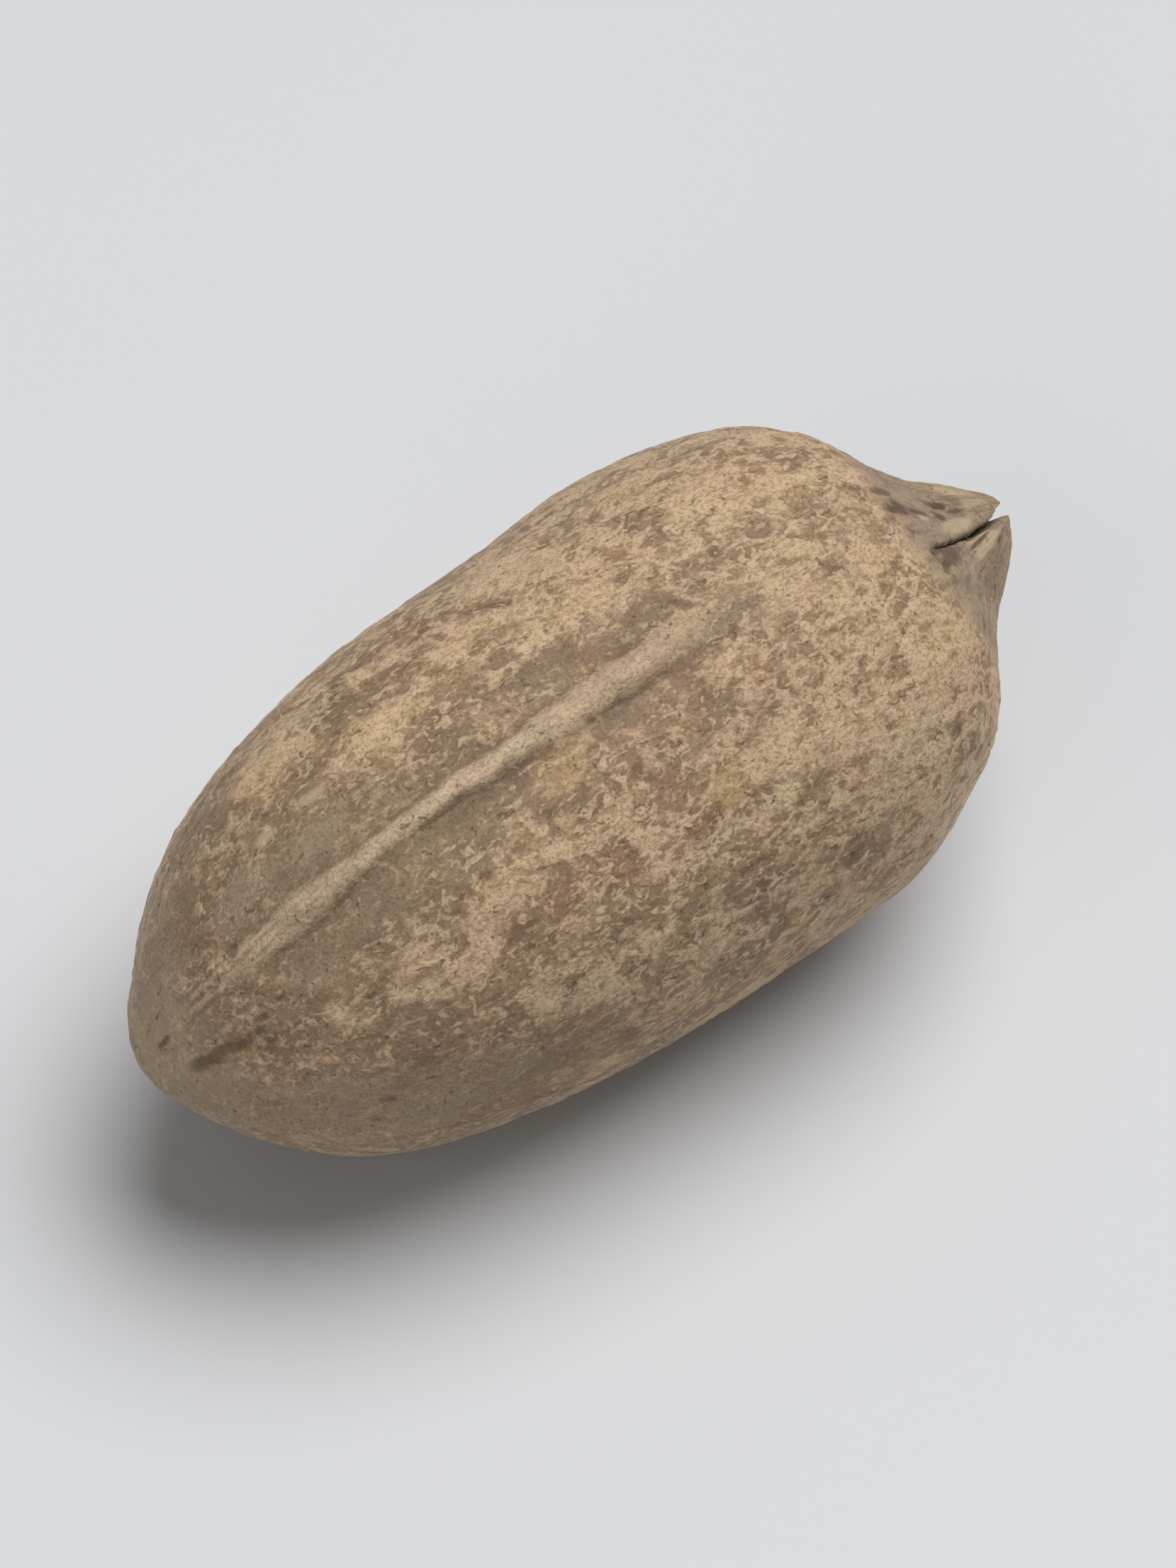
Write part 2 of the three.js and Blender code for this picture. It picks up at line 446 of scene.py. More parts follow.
# What each broad tone is made up of, and how strongly. The cover is how thick the scurf lies.
TONE_CAUSES = {
    "straw": {"straw_patches": 0.95, "yellow": 0.4, "rose_patches": -0.5},
    "rose": {"rosy": 0.7, "rose_patches": 0.8},
    "grey": {"grey_and_shade_patches": 0.75, "verge": 0.55, "base_end": 0.4},
    "cover": {
        "thick": 0.7,
        "straw_patches": 0.8,
        "grey_and_shade_patches": -0.6,
        "verge": -0.7,
        "base_end": -0.3,
        "beak_end": 0.5,
        "rose_patches": 0.25,
    },
}
TONE_LIMITS = {"straw": (0, 1), "rose": (0, 1), "grey": (0, 1), "cover": (-0.3, 1.2)}
BASE_END_FADE = (4, 20)
BEAK_END_RISE = (22, 34)
BASE_DUST_FADE = (0.6, 3.2)

# The crust of scurf comes on between two levels, sooner where the cover is thick, and less on the
# crest and where dust lies.
CRUST_LEVELS = (-0.12, 0.26)
CRUST_WITH_COVER = 0.7
CRUST_EVEN_COVER = 0.4
CRUST_LOST_ON_CREST = 0.6
CRUST_LOST_IN_DUST = 0.75

# The masks that the mesh carries for its finish: the marks on the shell, with the painted shade of its
# grooves and cracks, and its broad tones.
MARKS = ("crest", "groove", "strand", "crack", "pit", "beak", "base", "flaked_and_shaded", "cream")
TONES = ("straw", "rose", "grey", "cover", "streaks", "crust", "dusty")

# Flecks in the finish: size, stretch along the nut, the level that they come up at, the softness of
# their edge, how they wriggle, and how fine their detail goes.
FLECK_INPUTS = ("Size", "Stretch", "Level", "Softness", "Wriggle", "Detail")
FLECKS = {
    "grit": (0.3, 1.1, 0.5, 0.2, 0.4, 4.0),
    # The shaded crevices are painted shade between the flakes of scurf.
    "shaded_crevices": (1.1, 1.3, 0.54, 0.1, 1.1, 1.5),
    "gathered": (2.0, 1.3, 0.6, 0.12, 0.6, 2.0),
    "pale": (0.78, 1.4, 0.61, 0.07, 1.2, 1.5),
    "crest_lumps": (0.9, 1.9, 0.48, 0.12, 1.2, 1.5),
    "chaff": (0.38, 1.6, 0.62, 0.08, 1.0, 1.0),
    "grain": (0.14, 1.2, 0.55, 0.1, 0.0, 1.0),
    "lip": (0.9, 2.2, 0.44, 0.12, 0.7, 2.0),
    "lip_fibres": (0.3, 6.0, 0.56, 0.1, 0.3, 2.0),
    "specks": (0.4, 1.4, 0.68, 0.03, 0.8, 2.0),
}
# How the cover moves the level of some of them: a lower level brings on more.
FLECK_LEVEL_WITH_COVER = {"shaded_crevices": 0.03, "gathered": -0.22, "pale": -0.08}
FLECK_ROUGHNESS = 0.55
WORMS = {"Size": 2.3, "Stretch": 1.25, "Thinness": 4.6, "Wriggle": 1.4}

# A mask whose edge breaks up into grit: how much of it is mask and how much grit, between two levels.
CRUMBLE_MASK = 0.62
CRUMBLE_GRIT = 0.55
CRUMBLE_LEVELS = (0.32, 1.02)

# The depth of the finish's own relief in metres, how rough the bare shell is and how much rougher its
# crust, and the shell's dusty sheen.
FINISH_DEPTH = 0.028 * MM
BARE_ROUGHNESS = 0.72
CRUST_ROUGHNESS = 0.14
SHELL_SHEEN = {"IOR": 1.42, "Sheen Weight": 0.6, "Sheen Roughness": 0.25}

# The pale floor, as far below the nut as keeps the two from touching, in metres.
FLOOR_HALF_WIDTH = 3.0
FLOOR_DROP = 0.02 * MM

# Soft lights from far off: the direction each comes from, its power, and how wide it is in degrees.
LIGHTS = {
    "overhead": ((0.36, 0.02, 0.93), 2.98, 50),
    "low_fill": ((-0.92, -0.2, 0.36), 0.75, 60),
}

# The even pale surround: how strongly it lights the nut, and how much brighter it is to look at.
SURROUND_WHITE = (0.98, 0.98, 0.98, 1.0)
SURROUND_LIGHT = 0.17
SURROUND_SEEN = 0.6

# The camera looks down on the nut as in the photograph, from the same distance with a longer lens.
# The distance is in metres, and so is the span that the camera sees.
CAMERA_HEADING = -38.7
CAMERA_RISE = 54.0
CAMERA_DISTANCE = 0.291
CAMERA_LENS = 150
CAMERA_SPAN = (0.01, 10)


def bell(offset, half_width, power=2):
    """One at no offset, falling smoothly to nothing. A higher power makes its sides steeper."""
    return np.exp(-((offset / half_width) ** power))


def smoothstep(value, low, high):
    """Nought below low, one above high, and an even rise between them."""
    share = np.clip((value - low) / (high - low), 0, 1)
    return share * share * (3 - 2 * share)


def turn(start, end):
    """The signed turn from one angle to another, in radians, by the short way round."""
    return np.arctan2(np.sin(end - start), np.cos(end - start))


def outline_at(share):
    """Points of the outline at shares of its run, and its direction there, each as x and radius."""
    points = np.array(OUTLINE) * (LENGTH, GREATEST_RADIUS)
    place = share * (len(points) - 1)
    index = np.minimum(place.astype(int), len(points) - 2)
    step = (place - index)[:, None]
    start, end = points[index], points[index + 1]
    pull = (end - points[np.maximum(index - 1, 0)]) / 2
    push = (points[np.minimum(index + 2, len(points) - 1)] - start) / 2
    cubic = 2 * start - 2 * end + pull + push
    square = -3 * start + 3 * end - 2 * pull - push
    spot = cubic * step**3 + square * step**2 + pull * step + start
    slope = 3 * cubic * step**2 + 2 * square * step + pull
    return spot, slope / np.linalg.norm(slope, axis=1, keepdims=True)


def station_shares():
    """Shares of the outline's run that space the stations evenly along it, and closer on the beak."""
    share = np.linspace(0, 1, OUTLINE_STEPS + 1)
    spot, _ = outline_at(share)
    steps = np.linalg.norm(np.diff(spot, axis=0), axis=1)
    middle = (spot[1:, 0] + spot[:-1, 0]) / 2
    weight = 1 + BEAK_CROWDING * smoothstep(middle, *BEAK_CROWDING_RISE)
    run = np.concatenate([[0], np.cumsum(steps * weight)])
    return np.interp(np.linspace(0, run[-1], STATIONS + 1), run, share)


def round_angles():
    """Angles round the nut, a little closer together at the sutures and the split."""
    centre = math.radians((SUTURES[0]["angle"] + SPLIT["angle"]) / 2)
    even = np.arange(ROUND) / ROUND * 2 * math.pi
    return centre + even - SUTURE_CROWDING * np.sin(2 * even)


def chance(points, pattern):
    """Smooth relief from about -1 to 1 at some points, by one of the chance patterns."""
    size, stretch, wriggle, octaves, seed = PATTERNS[pattern]
    scaled = points.reshape(-1, 3) / (size * stretch, size, size) + SEED_STEP * seed
    spots = [Vector(spot) for spot in scaled]
    if wriggle:
        noise.seed_set(BEND_SEED)
        spots = [spot + noise.noise_vector(spot * WRIGGLE_SIZE) * wriggle for spot in spots]
    values = [noise.fractal(spot, 1.0, 2.0, octaves) for spot in spots]
    return np.array(values).reshape(points.shape[:-1])


def chance_mask(points, pattern):
    """Where a chance pattern stands high, from nought to one."""
    return smoothstep(chance(points, pattern), *PATTERN_LEVELS[pattern])


class Surface:
    """The nut's surface on a grid of stations and angles, with what its relief and finish depend on."""

    def __init__(self):
        spot, slope = outline_at(station_shares())
        self.x = spot[:, :1]
        self.radius = spot[:, 1:]
        self.slope_x = slope[:, :1]
        self.slope_out = slope[:, 1:]
        self.angle = round_angles()[None, :]
        self.round_body = self.swing(self.x, self.radius)
        run = np.cumsum(np.linalg.norm(np.diff(spot, axis=0, prepend=spot[:1]), axis=1))
        self.flow = self.swing(run[:, None], FLOW_RADIUS)

    def swing(self, x, out):
        """Points at x and a distance out from the axis, at each angle round it."""
        x, out, angle = np.broadcast_arrays(x, out, self.angle)
        return np.stack([x, -out * np.sin(angle), out * np.cos(angle)], axis=-1)

    def around(self, degrees):
        """How far each point lies round the nut from an angle, as an arc in millimetres."""
        return turn(math.radians(degrees), self.angle) * self.radius


def strand_field(x, offset):
    """Where strands take a crest's place, by x and by how far from the suture's middle."""
    near_base = smoothstep(x, *STRANDS["rise"]) * (1 - smoothstep(x, *STRANDS["fade"]))
    beside = bell(offset + STRANDS["aside"], STRANDS["half_width"] + STRANDS["spread"] * x)
    covered = STRANDS["covered_share"] * bell(x - STRANDS["covered_x"], STRANDS["covered_half_length"])
    return near_base * beside * (1 - covered)


def suture_masks(surface):
    """Where the crests, their grooves, verges and strands lie, and the relief that they make."""
    x = surface.x
    wander = SUTURE_WANDER * chance(surface.flow, "suture_wander")
    ragged = SUTURE_RAGGEDNESS * chance(surface.flow, "suture_edges")
    whole_grooves = chance_mask(surface.flow, "whole_grooves")
    whole_strands = chance_mask(surface.flow, "whole_strands")
    half_width = np.interp(x, *np.array(RIBBON).T)
    strengthens = (1 - RIBBON_BASE_STRENGTH) * smoothstep(x, *RIBBON_STRENGTHENS)
    dusted = (RIBBON_BASE_STRENGTH + strengthens) * smoothstep(x, *RIBBON_RISE)
    dusted = dusted * (1 - smoothstep(x, *RIBBON_FADE))
    masks = dict.fromkeys(("crest", "groove", "verge", "strand"), 0)
    relief = 0
    for suture in SUTURES:
        offset = surface.around(suture["angle"]) + wander
        lowered = 1 - SUTURE_LOWERED * smoothstep(x, suture["fades"], suture["ends"])
        strength = smoothstep(x, suture["start"], suture["full"]) * lowered
        crest = bell(offset, CREST_HALF_WIDTH)
        furrows = bell(offset - FURROW_OFFSET, FURROW_HALF_WIDTH)
        furrows = furrows + bell(offset + FURROW_OFFSET, FURROW_HALF_WIDTH)
        relief = relief + strength * (suture["crest"] * crest - suture["furrow"] * furrows)
        masks["verge"] = masks["verge"] + strength * bell(offset, VERGE_HALF_WIDTH)

        for side, depth, narrow in CREST_GROOVES:
            edge = side * (GROOVE_OUT_SHARE * half_width + GROOVE_OUT)
            groove = strength * whole_grooves * bell(offset + ragged - edge, narrow)
            relief = relief - depth * groove
            masks["groove"] = np.maximum(masks["groove"], groove * depth / GROOVE_DEEPEST)

        strands = strand_field(x, offset)
        shifted = offset + STRANDS["raggedness"] * ragged + STRANDS["wander"] * wander
        wave = np.cos(2 * math.pi * shifted / STRANDS["gap"])
        relief = relief + STRANDS["height"] * strands * wave
        gaps = strands * smoothstep(-wave, *STRANDS["gaps"])
        tops = strands * whole_strands * smoothstep(wave, *STRANDS["tops"])
        masks["groove"] = np.maximum(masks["groove"], gaps)
        masks["strand"] = np.maximum(masks["strand"], tops)

        ribbon = dusted * bell(offset + RIBBON_RAGGEDNESS * ragged, half_width, RIBBON_SQUARENESS)
        relief = relief + RIBBON_HEIGHT * ribbon
        masks["crest"] = masks["crest"] + ribbon
    return masks, relief


def patch_mask(surface, patches, ragged):
    """How far inside any of some patches each point is, from nought to one, with torn edges."""
    mask = np.zeros(surface.flow.shape[:-1])
    for x, angle, long, wide, strength in patches:
        away = np.hypot((surface.x - x) / long, surface.around(angle) / wide)
        tear = min(1.0, PATCH_TEAR + PATCH_TEAR_WITH_WIDTH * wide) * ragged
        mask = np.maximum(mask, strength * smoothstep(PATCH_REACH - away + tear, 0, PATCH_FADE))
    return mask


def rib_relief(surface):
    strength = smoothstep(surface.x, *RIBS_RISE) * (1 - smoothstep(surface.x, *RIBS_FADE))
    return strength * sum(height * bell(surface.around(angle), wide) for angle, height, wide in RIBS)


def swell_relief(surface):
    relief = 0
    for x, angle, along, wide, height in SWELLS:
        across = turn(math.radians(angle), surface.angle)
        relief = relief + height * bell(surface.x - x, along) * bell(across, math.radians(wide))
    return relief


def pleat_relief(surface):
    x, angle = surface.x, surface.angle
    past_full = 1 - smoothstep(x, PLEATS["full"], PLEATS["ends"])
    on_beak = smoothstep(x, PLEATS["start"], PLEATS["full"]) * past_full
    uneven = angle + PLEAT_SHIFT * np.sin(2 * angle + PLEAT_PHASE)
    return -PLEATS["depth"] * on_beak * (0.5 - 0.5 * np.cos(PLEATS["count"] * uneven))


def split_mask(surface):
    """How open the split is at each point, from nought to one."""
    x = surface.x
    round_from_split = turn(math.radians(SPLIT["angle"]), surface.angle)
    across = surface.radius * np.sin(round_from_split)
    across = across + EDGE_WANDER * chance(surface.round_body, "split_edge")
    outwards = surface.radius * np.cos(round_from_split)
    half_width = SPLIT["inner"] + (SPLIT["mouth"] - SPLIT["inner"]) * smoothstep(x, SPLIT["full"], LENGTH)
    reach = smoothstep(outwards, SPLIT["far"], 0) * smoothstep(x, SPLIT["start"], SPLIT["full"])
    return reach * bell(across, half_width, SPLIT_SQUARENESS)


def scar_height(surface):
    """How far the scar stands out from the base along the axis."""
    at_base = 1 - smoothstep(surface.x, *SCAR_FADE)
    rim = SCAR["rim"] * bell(surface.radius - SCAR["radius"], SCAR["half_width"])
    return at_base * (rim - SCAR["hollow"] * bell(surface.radius, SCAR["hollow_radius"]))


def bend_beak(surface, points):
    """Carries the beak up and aside, more and more towards its tip."""
    share = np.clip((surface.x - BEND["start"]) / (LENGTH - BEND["start"]), 0, 1) ** 2
    return points + np.stack([0 * share, share * BEND["aside"], share * BEND["up"]], axis=-1)


def cut_mask(surface):
    """How open the thin cut along the beak is at each point: the split as it shows from its side."""
    middle = np.radians(np.interp(surface.x, *np.array(CUT).T))
    across = turn(middle, surface.angle) * surface.radius
    across = across + EDGE_WANDER * chance(surface.round_body, "cut_edge")
    return smoothstep(surface.x, *CUT_RISE) * bell(across, CUT_HALF_WIDTH)


def fissure_masks(surface, fissures):
    """How open some fissures are at each point, and the relief that they make."""
    mask, relief = 0, 0
    wander = FISSURE_WANDER * chance(surface.round_body, "fissure_wander")
    for x, angle, length, lean, half_width, depth in fissures:
        along = surface.x - x
        across = surface.around(angle)
        tilt = math.radians(lean)
        lengthwise = (along * math.cos(tilt) + across * math.sin(tilt)) / (length / 2)
        sideways = across * math.cos(tilt) - along * math.sin(tilt) + wander
        taper = np.clip(1 - lengthwise**2, 0, 1)
        narrowed = half_width * (FISSURE_END_WIDTH + (1 - FISSURE_END_WIDTH) * taper)
        cut = taper**0.5 * bell(sideways, narrowed)
        mask = np.maximum(mask, cut)
        relief = relief - depth * cut
    return mask, relief


def pit_masks(surface):
    """How deep in a pit each point is, and the relief that the pits make."""
    draw = np.random.default_rng(STREWN_SEED)
    mask, relief = 0, 0
    for _ in range(STREWN_PITS):
        x, angle = draw.uniform(*PIT_X), draw.uniform(-180, 180)
        half_width, depth = draw.uniform(*PIT_HALF_WIDTH), draw.uniform(*PIT_DEPTH)
        across = surface.around(angle)
        pit = bell((surface.x - x) / PIT_STRETCH, half_width) * bell(across, half_width)
        mask = np.maximum(mask, pit)
        relief = relief - depth * pit
    return mask, relief


def grain_relief(surface, crest, beak):
    """Lumps, scurf and fine lengthwise lines: the low relief that covers the whole shell."""
    body, flow = surface.round_body, surface.flow
    lumps = LOW_RELIEF["lumps"] * chance(body, "lumps")
    scurf = LOW_RELIEF["scurf"] * chance(body, "scurf")
    lines = LOW_RELIEF["lines"] * bell(chance(flow, "lines"), LINE_HALF_WIDTH)
    crest_scurf = LOW_RELIEF["crest_scurf"] * crest * chance(body, "crest_scurf")
    fibres = LOW_RELIEF["beak_fibres"] * beak * chance(flow, "beak_fibres")
    off_the_poles = smoothstep(surface.radius, *LINES_RISE_WITH_RADIUS)
    return lumps + scurf + off_the_poles * (lines + fibres) + crest_scurf


def tone_masks(surface, crest, verge, ragged):
    """Where the shell's broad tones lie: straw, rose, grey and dust, and the crust of scurf over them."""
    body = surface.round_body
    causes = {
        "straw_patches": patch_mask(surface, STRAW_PATCHES, ragged),
        "rose_patches": patch_mask(surface, ROSE_PATCHES, ragged),
        "grey_and_shade_patches": patch_mask(surface, GREY_AND_SHADE_PATCHES, ragged),
        "thick": chance_mask(body, "thick"),
        "yellow": chance_mask(body, "yellow"),
        "rosy": chance_mask(body, "rosy"),
        "verge": verge,
        "base_end": 1 - smoothstep(surface.x, *BASE_END_FADE),
        "beak_end": smoothstep(surface.x, *BEAK_END_RISE),
    }
    added = {}
    for tone, weights in TONE_CAUSES.items():
        added[tone] = sum(weight * causes[name] for name, weight in weights.items())
    dusty = patch_mask(surface, DUSTY_PATCHES, ragged)
    crust = chance(body, "crust") + CRUST_WITH_COVER * (added["cover"] - CRUST_EVEN_COVER)
    crust = smoothstep(crust, *CRUST_LEVELS) * (1 - CRUST_LOST_ON_CREST * np.clip(crest, 0, 1))
    tones = {tone: np.clip(values, *TONE_LIMITS[tone]) for tone, values in added.items()}
    tones["streaks"] = chance_mask(surface.flow, "streaks")
    tones["crust"] = crust * (1 - CRUST_LOST_IN_DUST * dusty)
    tones["dusty"] = dusty
    return tones


def beak_mask(surface):
    """How far onto the beak's fibrous lip each point is, from nought to one."""
    reach = LIP_REACH * bell(turn(math.radians(LIP_REACH_ANGLE), surface.angle), LIP_REACH_HALF_TURN)
    start = LIP_START - reach
    return smoothstep(surface.x, start, start + LIP_RISE)


def closed_mesh(name, rings, first_pole, last_pole):
    """A closed mesh from rings of points and the two poles that end it, all in metres."""
    stations, round_count = rings.shape[:2]
    points = np.vstack([first_pole, rings.reshape(-1, 3), last_pole])
    last = len(points) - 1
    here = 1 + np.arange((stations - 1) * round_count).reshape(stations - 1, round_count)
    beside = np.roll(here, -1, axis=1)
    quads = np.stack([here, beside, beside + round_count, here + round_count], axis=-1).reshape(-1, 4)
    first_ring = 1 + np.arange(round_count)
    last_ring = last - round_count + np.arange(round_count)
    base_fan = [(0, int(b), int(a)) for a, b in zip(first_ring, np.roll(first_ring, -1))]
    tip_fan = [(last, int(a), int(b)) for a, b in zip(last_ring, np.roll(last_ring, -1))]
    mesh = bpy.data.meshes.new(name)
    mesh.from_pydata(points.tolist(), [], quads.tolist() + base_fan + tip_fan)
    mesh.shade_smooth()
    return mesh


def add_attribute(mesh, name, values):
    """A number for each point, with the two poles taking the mean of the ring beside them."""
    full = np.concatenate([[values[0].mean()], values.ravel(), [values[-1].mean()]])
    mesh.attributes.new(name, "FLOAT", "POINT").data.foreach_set("value", full.astype(np.float32))


def add_flow(mesh, flow):
    """Where each point lies along and round the nut, in millimetres, for patterns that run lengthwise."""
    full = np.vstack([flow[0].mean(axis=0), flow.reshape(-1, 3), flow[-1].mean(axis=0)])
    layer = mesh.attributes.new("flow", "FLOAT_VECTOR", "POINT")
    layer.data.foreach_set("vector", full.astype(np.float32).ravel())


def lay_down(points):
    """Lays points of the nut's own frame down as the solid lies, in metres, and presses its flat spot in."""
    pitch = math.radians(REST_PITCH)
    x, y, z = points[..., 0], points[..., 1], points[..., 2]
    pitched_x = x * math.cos(pitch) - z * math.sin(pitch)
    pitched_z = x * math.sin(pitch) + z * math.cos(pitch)
    laid = np.stack([pitched_x, y, pitched_z], axis=-1)
    low, high = laid.reshape(-1, 3).min(axis=0), laid.reshape(-1, 3).max(axis=0)
    middle = (np.array(CAD_LOW) + np.array(CAD_HIGH)) / 2
    laid[..., :2] = laid[..., :2] * MM - (low[:2] + high[:2]) / 2 * MM + middle[:2]
    laid[..., 2] = np.maximum((laid[..., 2] - low[2] - FLAT_DEPTH) * MM + CAD_LOW.z, CAD_LOW.z)
    return laid


def make_shell():
    """The nut's whole outside as one closed mesh, with the masks that its finish reads."""
    surface = Surface()
    along_sutures, suture_relief = suture_masks(surface)
    crest = along_sutures["crest"]
    beak = beak_mask(surface)
    split = split_mask(surface)
    cut = cut_mask(surface)
    fissure, fissure_relief = fissure_masks(surface, FISSURES)
    crease, crease_relief = fissure_masks(surface, CREASES)
    pit, pit_relief = pit_masks(surface)
    ragged = PATCH_RAGGEDNESS * chance(surface.round_body, "patch_edges")
    flaked_and_shaded = patch_mask(surface, FLAKED_AND_SHADED_PATCHES, ragged)
    cream = patch_mask(surface, CREAM_PATCHES, ragged)
    tones = tone_masks(surface, crest, along_sutures["verge"], ragged)
    height = (
        suture_relief
        + rib_relief(surface)
        + swell_relief(surface)
        + pleat_relief(surface)
        + fissure_relief
        + crease_relief
        + pit_relief
        + LOW_RELIEF["flaked_and_shaded"] * flaked_and_shaded
        + LOW_RELIEF["cream"] * cream
        + LOW_RELIEF["crust"] * tones["crust"] * (1 - beak)
        + grain_relief(surface, crest, beak)
    )
    along = surface.x - height * surface.slope_out - SPLIT["depth"] * split - scar_height(surface)
    out = surface.radius + height * surface.slope_x
    out = out - np.minimum(CUT_DEPTH, CUT_DEEPEST_SHARE * out) * cut
    laid = lay_down(bend_beak(surface, surface.swing(along, out)))

    mesh = closed_mesh("pecan_shell_fine", laid[1:-1], laid[0].mean(axis=0), laid[-1].mean(axis=0))
    marks = {
        "crest": crest,
        # The groove mask is painted shade in the grooves beside the crests, the gaps between strands and the
        # creases.
        "groove": np.maximum(along_sutures["groove"], crease),
        "strand": along_sutures["strand"],
        # The crack mask is painted shade in the beak's split, its cut and the fissures.
        "crack": np.maximum(np.maximum(split, cut), fissure),
        "pit": pit,
        "beak": beak,
        "base": 1 - smoothstep(surface.x, *BASE_DUST_FADE) + 0 * surface.angle,
        "flaked_and_shaded": flaked_and_shaded,
        "cream": cream,
    }
    for name in MARKS:
        add_attribute(mesh, name, np.clip(marks[name], 0, 1)[1:-1])
    for name in TONES:
        add_attribute(mesh, name, tones[name][1:-1])
    add_flow(mesh, surface.flow[1:-1])
    shell = bpy.data.objects.new("pecan_shell_fine", mesh)
    bpy.context.scene.collection.objects.link(shell)
    return shell


def paint(red, green, blue):
    """A colour given by its everyday 0 to 255 values, as the linear values that shaders read."""
    shares = [value / 255 for value in (red, green, blue)]
    linear = [s / 12.92 if s <= 0.04045 else ((s + 0.055) / 1.055) ** 2.4 for s in shares]
    return (*linear, 1.0)


# The tones of the shell and of the floor.
BARE_TAN = paint(132, 107, 83)
BARE_ROSE = paint(137, 107, 82)
BARE_OCHRE = paint(154, 129, 94)
BARE_GREY = paint(119, 103, 82)
CRUST_TAN = paint(154, 127, 98)
CRUST_STRAW = paint(181, 151, 110)
CRUST_ROSE = paint(161, 129, 98)
BASE_DUST = paint(151, 135, 114)
PALE_SCURF = paint(203, 175, 141)
ROSE_SCURF = paint(201, 168, 139)
CREST_DUST = paint(200, 174, 144)
# Dark scurf for the streaks and the grain, and painted shade in the crevices and grooves.
DARK_SCURF_AND_SHADE = paint(86, 64, 46)
# Brown where the shell has flaked, of the lip's fibres and the specks, and painted shade in a dent and a
# hollow.
FLAKED_BROWN_AND_SHADE = paint(84, 62, 43)
PIT_BROWN = paint(62, 46, 34)
LIP_CREAM = paint(184, 164, 134)
LIP_GREEN_GREY = paint(155, 138, 111)
# The lip's grey, also laid as its painted shade on the lower prong's side.
LIP_GREY_AND_SHADE = paint(118, 102, 86)
LIP_ROSE = paint(166, 144, 127)
# Painted shade beside the cracks and deep inside them, over the shell's own brown there.
HOLLOW_BROWN_AND_SHADE = paint(88, 70, 54)
CRACK_BROWN_AND_SHADE = paint(26, 19, 15)
SHEEN_DUST = paint(220, 206, 186)
FLOOR_GREY = paint(203, 204, 206)
FLOOR_SHADE = paint(196, 198, 200)


class Wiring:
    """Adds and links the nodes of one shader tree. A value may be a number, a colour or a socket."""

    def __init__(self, tree):
        self.tree = tree

    def feed(self, socket, value):
        if isinstance(value, bpy.types.NodeSocket):
            self.tree.links.new(value, socket)
        else:
            socket.default_value = value

    def node(self, kind, settings=(), **inputs):
        made = self.tree.nodes.new(kind)
        for name, value in dict(settings).items():
            setattr(made, name, value)
        for name, value in inputs.items():
            self.feed(made.inputs[name.replace("_", " ")], value)
        return made

    def math(self, operation, first, second=0.0):
        made = self.node("ShaderNodeMath", {"operation": operation})
        self.feed(made.inputs[0], first)
        self.feed(made.inputs[1], second)
        return made.outputs[0]

    def part(self, value, share):
        return self.math("MULTIPLY", value, share)

    def total(self, *values):
        added = values[0]
        for value in values[1:]:
            added = self.math("ADD", added, value)
        return added

    def scale(self, vector, along, across):
        """A vector with its length along x, and across it, multiplied."""
        sizes = self.node("ShaderNodeCombineXYZ", X=along, Y=across, Z=across).outputs[0]
        made = self.node("ShaderNodeVectorMath", {"operation": "MULTIPLY"})
        self.feed(made.inputs[0], vector)
        self.feed(made.inputs[1], sizes)
        return made.outputs[0]

    def mix(self, share, first, second):
        """The first of two colours, turned into the second by a share."""
        made = self.node("ShaderNodeMix", {"data_type": "RGBA"})
        self.feed(made.inputs[0], share)
        self.feed(made.inputs[6], first)
        self.feed(made.inputs[7], second)
        return made.outputs[2]

    def rise(self, value, low, high):
        """Nought below low and one above high, with a smooth rise between them."""
        made = self.node("ShaderNodeMapRange", {"interpolation_type": "SMOOTHSTEP"}, Value=value)
        self.feed(made.inputs["From Min"], low)
        self.feed(made.inputs["From Max"], high)
        return made.outputs[0]

    def soft_noise(self, place, size, stretch, **inputs):
        """Smooth noise from nought to one, its grains of a size and stretched along the nut."""
        finer = self.math("DIVIDE", 1.0, size)
        spread = self.scale(place, self.math("DIVIDE", finer, stretch), finer)
        return self.node("ShaderNodeTexNoise", Vector=spread, Scale=1.0, **inputs).outputs[0]

    def attribute(self, name, output="Fac"):
        return self.node("ShaderNodeAttribute", {"attribute_name": name}).outputs[output]

    def place_in_mm(self):
        """The point's own place on the piece, in millimetres."""
        coordinates = self.node("ShaderNodeTexCoord").outputs["Object"]
        return self.node("ShaderNodeMapping", Vector=coordinates, Scale=(1 / MM, 1 / MM, 1 / MM)).outputs[0]

    def group(self, tree, **inputs):
        """Places a shader node group with its own values, and gives its one output."""
        made = self.node("ShaderNodeGroup", {"node_tree": tree}, **inputs)
        return made.outputs[0]


def shader_group(name, inputs, output):
    """A new shader node group of one output: its wiring, and the sockets to read from and to feed.

    Its inputs are numbers with a usual value each, besides the place that a pattern is read at."""
    tree = bpy.data.node_groups.new(name, "ShaderNodeTree")
    tree.interface.new_socket("Place", in_out="INPUT", socket_type="NodeSocketVector")
    for label, value in inputs.items():
        socket = tree.interface.new_socket(label, in_out="INPUT", socket_type="NodeSocketFloat")
        socket.default_value = value
    tree.interface.new_socket(output, in_out="OUTPUT", socket_type="NodeSocketFloat")
    given = tree.nodes.new("NodeGroupInput").outputs
    made = tree.nodes.new("NodeGroupOutput").inputs[output]
    return Wiring(tree), given, made


